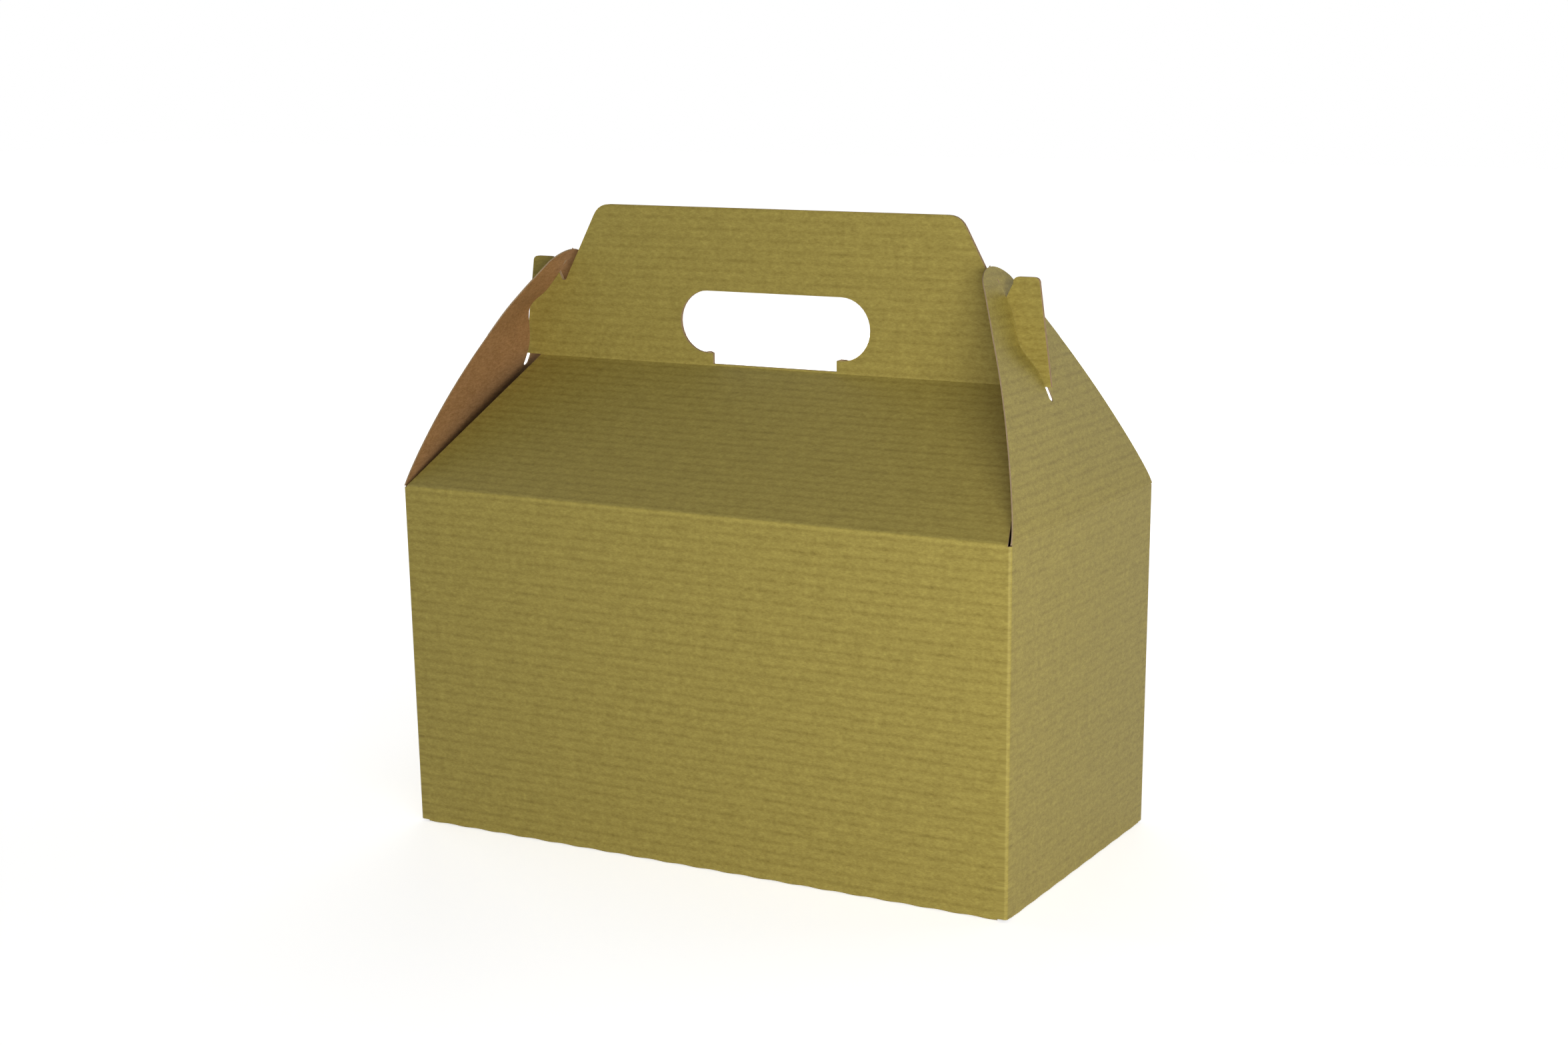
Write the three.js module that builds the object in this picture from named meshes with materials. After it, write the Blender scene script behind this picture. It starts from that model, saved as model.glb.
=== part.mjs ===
// Gable box: a carry-out carton folded from one sheet of plain kraft board.
// Millimetres, +Z up. The origin is the middle of the base, with X along the front.
// The sheet is described as it is die cut and creased: panels, creases and cut lines.
// Every point of it has an outer and an inner face point, one board thickness apart.
import * as THREE from 'three';

// Board
const BOARD = 0.5;
const FOLD_RADIUS = 0.8;
const FOLD_STEPS = 3;
const SAME_POINT = 0.001;
const LAYER_GAP = 0.3;

// Body of the carton, outside sizes at the shoulder crease
const WIDTH = 241;
const DEPTH = 124;
const WALL_HEIGHT = 127;
const WALL_DRAFT = 1.3;
const CORNER_RADIUS = 1.1;
const SHOULDER_RELIEF = 0.3;
const FOOT_RELIEF = 2.5;
const GLUE_TAB = 16;
const GLUE_TAB_BEVEL = 6;

// Roof and handle
const ROOF_RISE = 42.3;
const RIDGE_WIDTH = 201.4;
const HANDLE_HEIGHT = 57;
const HANDLE_TOP_WIDTH = 147;
const HANDLE_CORNER_RADIUS = 6;
const ARC_STEPS = 6;

// Hand hole: a slot with full round ends, and a straight-sided drop to the ridge crease
const HOLE_WIDTH = 77.4;
const HOLE_HEIGHT = 22.6;
const HOLE_HEIGHT_ABOVE_RIDGE = 4.4;
const HOLE_DROP_WIDTH = 50.6;
const HOLE_DROP_FLOOR = 0.5;

// Ears: the hooks at both ends of the handle that the gable flaps catch on
const EAR_REACH = 6.7;
const EAR_LEAN = 4.5;
const FINGER_HEIGHT = 37;
const FINGER_WIDTH = 9.8;
const FINGER_CORNER_RADIUS = 1.6;
const NOTCH_FLOOR = 28;
const NOTCH_WIDTH = 2.4;
const NOTCH_INNER_LEAN = 2.6;

// Gable flaps
const FLAP_LEAN = THREE.MathUtils.degToRad(13);
const FLAP_BOW_RADIUS = 245;
const FLAP_TIP_RADIUS = 15.5;
const FLAP_TIP_BRIDGE = 4.8;
const FLAP_STEP = 6;
const HINGE_GAP = 0.3;
const SLOT_WIDTH = 2.6;
const SLOT_SWING_CLEARANCE = 0.8;
const SLOT_FOOT_CLEARANCE = 5;

// Bottom: four flaps in three layers, held by a tongue through a recess
const BOTTOM_MITRE = 9;
const BOTTOM_RAMP = 9;
const LOCK_FLAP_LENGTH = 61;
const TONGUE_WIDTH = 76;
const TONGUE_LENGTH = 30;
const TONGUE_RAMP = 13;
const TONGUE_TIP_MITRE = 6;
const DUST_FLAP_LENGTH = 64;
const DUST_FLAP_TAPER = 7;
const REAR_FLAP_LENGTH = 72;
const RECESS_CLEARANCE = 4;

const layerStep = BOARD + LAYER_GAP;
const quarterTurn = Math.PI / 2;

// A sheet of board gathers triangles of corners. A corner is a pair of points, one on
// each face. Edges that only one triangle uses are the cut edges of the board.
class Sheet {
  constructor() {
    this.corners = [];
    this.triangles = [];
  }

  // Panels that meet at a crease share its corners
  corner({ outer, inner }) {
    const known = this.corners.findIndex((corner) => (
      corner.outer.distanceTo(outer) < SAME_POINT && corner.inner.distanceTo(inner) < SAME_POINT));
    return known < 0 ? this.corners.push({ outer, inner }) - 1 : known;
  }

  triangle(first, second, third) {
    const ids = [first, second, third].map((pair) => this.corner(pair));
    if (new Set(ids).size < 3) {
      return;
    }
    const [a, b, c] = ids.map((id) => this.corners[id].outer);
    const facing = b.clone().sub(a).cross(c.clone().sub(a));
    const outward = a.clone().sub(this.corners[ids[0]].inner);
    this.triangles.push(facing.dot(outward) < 0 ? [ids[0], ids[2], ids[1]] : ids);
  }

  // Board between two crosswise lines of corners, which may have different numbers of them
  between(near, far) {
    let i = 0;
    let j = 0;
    while (i < near.length - 1 || j < far.length - 1) {
      if ((i + 1) * (far.length - 1) <= (j + 1) * (near.length - 1)) {
        this.triangle(near[i], near[i + 1], far[j]);
        i += 1;
      } else {
        this.triangle(near[i], far[j + 1], far[j]);
        j += 1;
      }
    }
  }

  rows(rows) {
    rows.slice(1).forEach((row, i) => this.between(rows[i], row));
  }

  // A flat panel with a free outline and holes, cut from the drawing of it
  panel(shape, place) {
    const { shape: outline, holes } = shape.extractPoints(ARC_STEPS);
    const faces = THREE.ShapeUtils.triangulateShape(outline, holes);
    const points = [...outline, ...holes.flat()];
    for (const face of faces) {
      this.triangle(...face.map((index) => place(points[index])));
    }
  }

  geometry() {
    const edgeUse = new Set();
    for (const [a, b, c] of this.triangles) {
      [[a, b], [b, c], [c, a]].forEach(([from, to]) => edgeUse.add(`${from},${to}`));
    }
    const points = this.corners.flatMap(({ outer, inner }) => [outer, inner]);
    const index = [];
    for (const [a, b, c] of this.triangles) {
      index.push(2 * a, 2 * b, 2 * c, 2 * a + 1, 2 * c + 1, 2 * b + 1);
      for (const [from, to] of [[a, b], [b, c], [c, a]]) {
        if (!edgeUse.has(`${to},${from}`)) {
          index.push(2 * from, 2 * from + 1, 2 * to + 1, 2 * from, 2 * to + 1, 2 * to);
        }
      }
    }
    const geometry = new THREE.BufferGeometry().setFromPoints(points);
    geometry.setIndex(index);
    geometry.computeVertexNormals();
    return geometry;
  }
}

// A strip is drawn as a pen walks over the outer face: a is how far it has come into the
// box, b how far it has come along the wall's own direction, and the heading turns inwards.
class Strip {
  constructor(place, cuts, start = { a: 0, b: 0, heading: 0 }) {
    this.place = place;
    this.state = { ...start };
    this.rows = [];
    this.mark(cuts);
  }

  corner(cut, rise = 0) {
    const { a, b, heading } = this.state;
    const outerA = a + rise * Math.sin(heading);
    const outerB = b + rise * Math.cos(heading);
    return {
      outer: this.place(cut, outerA, outerB),
      inner: this.place(cut, outerA + BOARD * Math.cos(heading), outerB - BOARD * Math.sin(heading)),
    };
  }

  mark(cuts) {
    this.cuts = cuts;
    this.rows.push(cuts.map((cut) => this.corner(cut)));
    return this;
  }

  go(length, cuts = this.cuts) {
    this.state.a += length * Math.sin(this.state.heading);
    this.state.b += length * Math.cos(this.state.heading);
    return this.mark(cuts);
  }

  // A crease: the outer face turns on the fold radius, or on what the board leaves of it
  turn(angle) {
    const radius = angle > 0 ? FOLD_RADIUS : FOLD_RADIUS - BOARD;
    const chord = 2 * radius * Math.sin(Math.abs(angle) / FOLD_STEPS / 2);
    for (let i = 0; i < FOLD_STEPS; i += 1) {
      this.state.heading += angle / FOLD_STEPS / 2;
      this.state.a += chord * Math.sin(this.state.heading);
      this.state.b += chord * Math.cos(this.state.heading);
      this.state.heading += angle / FOLD_STEPS / 2;
      this.mark(this.cuts);
    }
    return this;
  }

  // A shallow step from one layer to the next: up a slope and level again
  climb(rise, run, cuts) {
    const slope = Math.atan2(rise, run);
    this.state.heading += slope;
    this.go(Math.hypot(rise, run), cuts);
    this.state.heading -= slope;
    this.rows[this.rows.length - 1] = cuts.map((cut) => this.corner(cut));
    return this;
  }

  branch(cuts) {
    return new Strip(this.place, cuts, this.state);
  }
}

// Walls
const leanIn = (z) => WALL_DRAFT * (1 - z / WALL_HEIGHT);
const faceX = (z) => WIDTH / 2 - leanIn(z);
const faceY = (z) => DEPTH / 2 - leanIn(z);
const lapInset = BOARD + LAYER_GAP;

const roofSlope = Math.atan2(ROOF_RISE, DEPTH / 2);
const shoulderTurn = quarterTurn - roofSlope;
const shoulderReach = FOLD_RADIUS * Math.tan(shoulderTurn / 2);
const wallFoot = FOLD_RADIUS;
const wallTop = WALL_HEIGHT - shoulderReach;

// Creases stop short of the corners by a relief cut, wider at the foot than at the shoulder
const relief = (z) => CORNER_RADIUS + (z > WALL_HEIGHT / 2 ? SHOULDER_RELIEF : FOOT_RELIEF);
const creaseX = (z) => faceX(z) - relief(z);
const creaseY = (z) => faceY(z) - relief(z);
const frontCrease = (z) => [-creaseX(z), creaseX(z)];
const rearCrease = (z) => [lapInset - creaseX(z), creaseX(z)];
const endCrease = (z) => [-creaseY(z), creaseY(z)];

// Points round a corner of the carton in plan, from one heading to the next
function cornerArc(centreX, centreY, fromAngle) {
  const points = [];
  for (let i = 0; i <= FOLD_STEPS; i += 1) {
    const angle = fromAngle + (i / FOLD_STEPS) * quarterTurn;
    const [nx, ny] = [Math.cos(angle), Math.sin(angle)];
    const [x, y] = [centreX + CORNER_RADIUS * nx, centreY + CORNER_RADIUS * ny];
    points.push({ x, y, nx, ny });
  }
  return points;
}

// The girth of the carton in plan, before its walls lean in: from the glue tab's free edge,
// round the back, right, front and left walls, to the left wall's free edge at that corner
function girth(z) {
  const centreX = WIDTH / 2 - CORNER_RADIUS;
  const centreY = DEPTH / 2 - CORNER_RADIUS;
  const stopX = WIDTH / 2 - relief(z);
  const stopY = DEPTH / 2 - relief(z);
  const half = quarterTurn * 2;
  const tabX = -WIDTH / 2 + lapInset;
  const tabCorner = cornerArc(centreX - lapInset, centreY, quarterTurn)
    .map(({ x, y, nx, ny }) => ({ x: x - 2 * (centreX - lapInset), y, nx, ny }));
  return [
    { x: tabX, y: DEPTH / 2 - GLUE_TAB, nx: -1, ny: 0, tab: true },
    ...tabCorner.reverse(),
    { x: lapInset - stopX, y: DEPTH / 2, nx: 0, ny: 1 },
    { x: stopX, y: DEPTH / 2, nx: 0, ny: 1 },
    ...cornerArc(centreX, centreY, 0).reverse(),
    { x: WIDTH / 2, y: stopY, nx: 1, ny: 0 },
    { x: WIDTH / 2, y: -stopY, nx: 1, ny: 0 },
    ...cornerArc(centreX, -centreY, -quarterTurn).reverse(),
    { x: stopX, y: -DEPTH / 2, nx: 0, ny: -1 },
    { x: -stopX, y: -DEPTH / 2, nx: 0, ny: -1 },
    ...cornerArc(-centreX, -centreY, half).reverse(),
    { x: -WIDTH / 2, y: -stopY, nx: -1, ny: 0 },
    { x: -WIDTH / 2, y: stopY, nx: -1, ny: 0 },
    { x: -WIDTH / 2, y: centreY, nx: -1, ny: 0 },
  ];
}

function addWalls(sheet) {
  const rows = [wallFoot, wallTop].map((z) => girth(z).map(({ x, y, nx, ny, tab }) => {
    const bevel = tab ? Math.sign(z - WALL_HEIGHT / 2) * GLUE_TAB_BEVEL : 0;
    const px = x - Math.sign(x) * leanIn(z);
    const py = y - Math.sign(y) * leanIn(z);
    return {
      outer: new THREE.Vector3(px, py, z - bevel),
      inner: new THREE.Vector3(px - nx * BOARD, py - ny * BOARD, z - bevel),
    };
  }));
  sheet.rows(rows);
}

// The handle and its ears, drawn flat with the ridge crease along y = 0
function handleOutline() {
  const ridge = RIDGE_WIDTH / 2;
  const earFoot = ridge + EAR_REACH;
  const fingerOuter = earFoot - EAR_LEAN;
  const fingerInner = fingerOuter - FINGER_WIDTH;
  const notchOuter = fingerInner - NOTCH_INNER_LEAN;
  const notchInner = notchOuter - NOTCH_WIDTH;
  const top = HANDLE_TOP_WIDTH / 2;
  const slope = new THREE.Vector2(top - notchInner, HANDLE_HEIGHT - NOTCH_FLOOR).normalize();
  const shape = new THREE.Shape();
  const side = (sign, points) => points.forEach(([command, ...values]) => {
    shape[command](...values.map((value, i) => (i % 2 ? value : sign * value)));
  });
  const notch = NOTCH_WIDTH * 0.6;
  const radius = FINGER_CORNER_RADIUS;
  const corner = HANDLE_CORNER_RADIUS;
  const drop = [slope.x * corner, slope.y * corner];
  shape.moveTo(-ridge, 0);
  shape.lineTo(ridge, 0);
  side(1, [
    ['lineTo', earFoot, 0],
    ['lineTo', fingerOuter, FINGER_HEIGHT - radius],
    ['quadraticCurveTo', fingerOuter, FINGER_HEIGHT, fingerOuter - radius, FINGER_HEIGHT],
    ['lineTo', fingerInner + radius, FINGER_HEIGHT],
    ['quadraticCurveTo', fingerInner, FINGER_HEIGHT, fingerInner, FINGER_HEIGHT - radius],
    ['lineTo', notchOuter, NOTCH_FLOOR + notch],
    ['bezierCurveTo', notchOuter, NOTCH_FLOOR, notchInner, NOTCH_FLOOR, notchInner, NOTCH_FLOOR + notch],
    ['lineTo', top - drop[0], HANDLE_HEIGHT - drop[1]],
    ['quadraticCurveTo', top, HANDLE_HEIGHT, top - corner, HANDLE_HEIGHT],
  ]);
  side(-1, [
    ['lineTo', top - corner, HANDLE_HEIGHT],
    ['quadraticCurveTo', top, HANDLE_HEIGHT, top - drop[0], HANDLE_HEIGHT - drop[1]],
    ['lineTo', notchInner, NOTCH_FLOOR + notch],
    ['bezierCurveTo', notchInner, NOTCH_FLOOR, notchOuter, NOTCH_FLOOR, notchOuter, NOTCH_FLOOR + notch],
    ['lineTo', fingerInner, FINGER_HEIGHT - radius],
    ['quadraticCurveTo', fingerInner, FINGER_HEIGHT, fingerInner + radius, FINGER_HEIGHT],
    ['lineTo', fingerOuter - radius, FINGER_HEIGHT],
    ['quadraticCurveTo', fingerOuter, FINGER_HEIGHT, fingerOuter, FINGER_HEIGHT - radius],
    ['lineTo', earFoot, 0],
  ]);
  shape.closePath();
  shape.holes.push(handHole());
  return shape;
}

function handHole() {
  const radius = HOLE_HEIGHT / 2;
  const centre = HOLE_WIDTH / 2 - radius;
  const height = HOLE_HEIGHT_ABOVE_RIDGE + radius;
  const drop = HOLE_DROP_WIDTH / 2;
  const hole = new THREE.Path();
  hole.moveTo(drop, HOLE_DROP_FLOOR);
  hole.lineTo(-drop, HOLE_DROP_FLOOR);
  hole.lineTo(-drop, height - radius);
  hole.absarc(-centre, height, radius, -quarterTurn, quarterTurn, true);
  hole.absarc(centre, height, radius, quarterTurn, -quarterTurn, true);
  hole.lineTo(drop, height - radius);
  hole.closePath();
  return hole;
}

// Roof and handle on the front (sign -1) or back (sign 1) wall
function addRoof(sheet, sign, crease) {
  const wallY = faceY(wallTop);
  const place = (x, a, b) => new THREE.Vector3(x, sign * (wallY - a), wallTop + b);
  const handleFace = BOARD + LAYER_GAP / 2;
  const foldReach = (FOLD_RADIUS - BOARD) * Math.tan(shoulderTurn / 2);
  const strip = new Strip(place, crease(wallTop));
  strip.turn(shoulderTurn);
  const run = wallY - handleFace - strip.state.a;
  const slopeLength = run / Math.cos(roofSlope) - foldReach;
  strip.go(slopeLength, [-RIDGE_WIDTH / 2, RIDGE_WIDTH / 2]);
  strip.turn(-shoulderTurn);
  sheet.rows(strip.rows);
  sheet.panel(handleOutline(), ({ x, y }) => strip.corner(x, y));
}

// A bottom flap starts at the wall's foot, turns under the box and climbs to its own layer.
// It is mitred there, and may have cuts of its own between its two edges.
function bottomStrip(place, crease, layer, innerCuts = []) {
  const [from, to] = crease(wallFoot);
  const cuts = [from + BOTTOM_MITRE, ...innerCuts, to - BOTTOM_MITRE];
  const strip = new Strip(place, [from, to]);
  strip.turn(quarterTurn);
  strip.climb(layer * layerStep, BOTTOM_RAMP, cuts);
  return strip;
}

function addLockFlap(sheet) {
  const place = (x, a, b) => new THREE.Vector3(x, a - faceY(wallFoot), wallFoot - b);
  const tongue = TONGUE_WIDTH / 2;
  const tip = tongue - TONGUE_TIP_MITRE;
  const strip = bottomStrip(place, frontCrease, 0, [-tongue, tongue]);
  strip.go(LOCK_FLAP_LENGTH - strip.state.a);
  sheet.rows(strip.rows);
  const lock = strip.branch([-tongue, tongue]);
  lock.climb(3 * layerStep, TONGUE_RAMP, [-tongue, tongue]);
  lock.go(TONGUE_LENGTH - TONGUE_RAMP, [-tip, tip]);
  sheet.rows(lock.rows);
}

function addDustFlap(sheet, sign) {
  const place = (y, a, b) => new THREE.Vector3(sign * (faceX(wallFoot) - a), y, wallFoot - b);
  const strip = bottomStrip(place, endCrease, 1);
  const end = strip.cuts[1] - DUST_FLAP_TAPER;
  strip.go(DUST_FLAP_LENGTH - strip.state.a, [-end, end]);
  sheet.rows(strip.rows);
}

function addRearFlap(sheet) {
  const place = (x, a, b) => new THREE.Vector3(x, faceY(wallFoot) - a, wallFoot - b);
  const recess = TONGUE_WIDTH / 2 + RECESS_CLEARANCE;
  const recessEdge = DEPTH - LOCK_FLAP_LENGTH - TONGUE_RAMP - RECESS_CLEARANCE;
  const strip = bottomStrip(place, rearCrease, 2, [-recess, recess]);
  strip.go(recessEdge - strip.state.a);
  sheet.rows(strip.rows);
  const [left, , , right] = strip.cuts;
  for (const cuts of [[left, -recess], [recess, right]]) {
    const wing = strip.branch(cuts).go(REAR_FLAP_LENGTH - strip.state.a);
    sheet.rows(wing.rows);
  }
}

// The top of an end wall, from the level where the corners stop to the hinge crease
function addEndWallTop(sheet, sign) {
  const row = (z) => endCrease(wallTop).map((y) => ({
    outer: new THREE.Vector3(sign * faceX(z), y, z),
    inner: new THREE.Vector3(sign * (faceX(z) - BOARD), y, z),
  }));
  sheet.rows([row(wallTop), row(WALL_HEIGHT - HINGE_GAP / 2)]);
}

function cartonGeometry() {
  const sheet = new Sheet();
  addWalls(sheet);
  addRoof(sheet, -1, frontCrease);
  addRoof(sheet, 1, rearCrease);
  addEndWallTop(sheet, -1);
  addEndWallTop(sheet, 1);
  addLockFlap(sheet);
  addDustFlap(sheet, -1);
  addDustFlap(sheet, 1);
  addRearFlap(sheet);
  return sheet.geometry();
}

// Length along the bowed flap at a straight distance from its crease
function flapLengthAt(distance) {
  return 2 * FLAP_BOW_RADIUS * Math.asin(distance / (2 * FLAP_BOW_RADIUS));
}

// The slot runs from below the ear's foot to above the furthest corner of its finger
function slotEnds() {
  const foot = RIDGE_WIDTH / 2 + EAR_REACH;
  const fingerInner = foot - EAR_LEAN - FINGER_WIDTH;
  const footDistance = Math.hypot(WIDTH / 2 - foot, ROOF_RISE);
  const fingerDistance = Math.hypot(WIDTH / 2 - fingerInner, ROOF_RISE + FINGER_HEIGHT);
  return {
    low: flapLengthAt(footDistance - SLOT_FOOT_CLEARANCE),
    high: flapLengthAt(fingerDistance + SLOT_SWING_CLEARANCE),
  };
}

function flapGeometry(sign) {
  const { low, high } = slotEnds();
  const root = HINGE_GAP / 2;
  const length = high + FLAP_TIP_BRIDGE;
  const rootHalf = creaseY(wallTop);
  const tipCentre = length - FLAP_TIP_RADIUS;
  const fromRoot = tipCentre - root;
  const toTip = Math.hypot(rootHalf, fromRoot);
  const edgeAngle = Math.atan2(rootHalf, fromRoot) - Math.asin(FLAP_TIP_RADIUS / toTip);
  const tangent = tipCentre + FLAP_TIP_RADIUS * Math.sin(edgeAngle);
  const slotHalf = SLOT_WIDTH / 2;

  const halfWidth = (r) => (r < tangent
    ? rootHalf - (r - root) * Math.tan(edgeAngle)
    : Math.sqrt(Math.max(0, FLAP_TIP_RADIUS ** 2 - (r - tipCentre) ** 2)));
  const slotAt = (r) => {
    const past = Math.max(low + slotHalf - r, r - high + slotHalf, 0);
    return Math.sqrt(Math.max(0, slotHalf ** 2 - past ** 2));
  };

  const stations = new Set([root, tangent, low + slotHalf, high - slotHalf]);
  for (let r = root + FLAP_STEP; r < length; r += FLAP_STEP) {
    stations.add(r);
  }
  for (let i = 1; i <= FOLD_STEPS; i += 1) {
    const reach = slotHalf * Math.sin((i / FOLD_STEPS) * quarterTurn);
    stations.add(low + slotHalf - reach);
    stations.add(high - slotHalf + reach);
  }
  const tipSteps = 2 * ARC_STEPS;
  for (let i = 1; i <= tipSteps; i += 1) {
    const angle = edgeAngle + (i / tipSteps) * (quarterTurn - edgeAngle);
    stations.add(tipCentre + FLAP_TIP_RADIUS * Math.sin(angle));
  }

  const corner = (r, y) => {
    const lean = FLAP_LEAN + r / FLAP_BOW_RADIUS;
    const inset = FLAP_BOW_RADIUS * (Math.cos(FLAP_LEAN) - Math.cos(lean));
    const rise = FLAP_BOW_RADIUS * (Math.sin(lean) - Math.sin(FLAP_LEAN));
    const x = WIDTH / 2 - inset;
    const z = WALL_HEIGHT + rise;
    return {
      outer: new THREE.Vector3(sign * x, y, z),
      inner: new THREE.Vector3(sign * (x - BOARD * Math.cos(lean)), y, z - BOARD * Math.sin(lean)),
    };
  };

  const sheet = new Sheet();
  const ordered = [...stations].sort((a, b) => a - b);
  for (const side of [-1, 1]) {
    sheet.rows(ordered.map((r) => [corner(r, side * slotAt(r)), corner(r, side * halfWidth(r))]));
  }
  return sheet.geometry();
}

// Uncoated kraft board, outer face
const kraftBoard = () => new THREE.MeshStandardMaterial({
  color: 0x9c8a4e,
  roughness: 0.85,
  metalness: 0,
});

function mesh(name, geometry) {
  const part = new THREE.Mesh(geometry, kraftBoard());
  part.name = name;
  return part;
}

const gableBox = new THREE.Group();
gableBox.add(mesh('carton', cartonGeometry()));
gableBox.add(mesh('gable_flap_left', flapGeometry(-1)));
gableBox.add(mesh('gable_flap_right', flapGeometry(1)));

export default gableBox;
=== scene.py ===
import math

import bmesh
import bpy
import numpy as np
from mathutils import Matrix, Vector


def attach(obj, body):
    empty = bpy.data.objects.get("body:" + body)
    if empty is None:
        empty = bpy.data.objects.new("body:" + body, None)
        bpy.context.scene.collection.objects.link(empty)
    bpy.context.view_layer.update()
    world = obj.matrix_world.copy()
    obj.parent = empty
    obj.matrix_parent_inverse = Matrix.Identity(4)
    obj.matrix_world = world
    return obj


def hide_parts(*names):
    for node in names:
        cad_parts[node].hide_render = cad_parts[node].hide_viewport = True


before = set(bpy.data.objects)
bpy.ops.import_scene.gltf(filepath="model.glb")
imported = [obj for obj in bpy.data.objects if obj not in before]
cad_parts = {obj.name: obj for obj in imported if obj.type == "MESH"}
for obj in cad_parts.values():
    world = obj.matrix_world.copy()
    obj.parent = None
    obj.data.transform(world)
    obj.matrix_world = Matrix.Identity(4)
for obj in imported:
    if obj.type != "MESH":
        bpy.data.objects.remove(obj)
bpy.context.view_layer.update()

bl_info = {
    "name": "Gable box",
    "version": (1, 0, 0),
    "blender": (4, 5, 0),
    "location": "3D View > Sidebar > Gable box",
    "description": "Folds a kraft board gable box from its sheet sizes",
    "category": "Add Mesh",
}

MM = 0.001
NEAR = 1e-7
FOLD_STEPS = 7
RIB_PITCH = 3.69
DOWN = np.array([0, 0, -1.0])

# Soft boxes: name, place, size and watts. Each looks at the middle of the box.
BOX_MIDDLE = (0.0, 0.0, 0.10)
SOFT_BOXES = (
    ("key_softbox", (0.53, -0.62, 0.17), (0.5, 0.4), 4.4),
    ("side_softbox", (0.75, 0.80, 0.60), (0.9, 0.6), 1.4),
    ("front_fill", (-0.4, -1.6, 0.45), (1.0, 1.0), 0.4),
    ("rear_fill", (-0.55, 1.25, 0.40), (1.0, 1.0), 8.0),
    ("left_fill", (-1.25, 0.15, 0.35), (1.0, 1.0), 4.5),
)


def linear(code):
    """An sRGB hex colour as linear red, green and blue: each channel c becomes
    c / 12.92 near black, and ((c + 0.055) / 1.055) to the power 2.4 above."""
    channels = [int(code[i:i + 2], 16) / 255 for i in (1, 3, 5)]
    return tuple(
        c / 12.92 if c <= 0.04045 else ((c + 0.055) / 1.055) ** 2.4 for c in channels
    )


def length(name, description, default):
    return bpy.props.FloatProperty(
        name=name, description=description, default=default * MM, unit="LENGTH", precision=4
    )


def angle(name, description, default):
    return bpy.props.FloatProperty(
        name=name, description=description, default=math.radians(default), subtype="ANGLE"
    )


def colour(name, description, code):
    return bpy.props.FloatVectorProperty(
        name=name, description=description, default=linear(code), subtype="COLOR",
        size=3, min=0.0, max=1.0,
    )


class GableBoxSizes(bpy.types.PropertyGroup):
    """Sizes of the die-cut sheet, as the CAD model has them"""

    board: length("Board", "Thickness of the board", 0.5)
    width: length("Width", "Outside width at the shoulder crease", 241)
    depth: length("Depth", "Outside depth at the shoulder crease", 124)
    wall: length("Wall height", "Height of the shoulder crease", 127)
    draft: length("Draft", "How far each wall leans in at its foot", 1.3)
    rise: length("Roof rise", "Height of the ridge above the shoulder", 42.3)
    ridge: length("Ridge", "Width of the roof at the ridge crease", 201.4)
    handle: length("Handle height", "Height of the handle above the ridge", 57)
    handle_top: length("Handle top", "Width of the handle's top edge", 147)
    hole_width: length("Hole width", "Width of the hand hole", 77.4)
    hole_height: length("Hole height", "Height of the hand hole", 22.6)
    lean_left: angle("Left lean", "Lean of the left gable flap at its crease", 9)
    lean_right: angle("Right lean", "Lean of the right gable flap at its crease", 17)
    bow_left: length("Left bow", "Radius that the left gable flap is bowed to", 184)
    bow_right: length("Right bow", "Radius that the right gable flap is bowed to", 356)


class GableBoxFinish(bpy.types.PropertyGroup):
    """Colours of the board"""

    liner: colour("Liner", "Outer face of the kraft board", "#a59447")
    liner_dark: colour("Liner fibres", "Darker fibres and rib lines of the outer face", "#7d6c2b")
    inner: colour("Inner face", "Plain brown inner face", "#a0774a")
    inner_dark: colour("Inner fibres", "Darker fibres of the inner face", "#6f4c24")
    edge: colour("Cut edge", "Raw edge where the die has cut the board", "#b39a77")
    floor: colour("Floor", "Floor and backdrop", "#f4f4f4")


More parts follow.
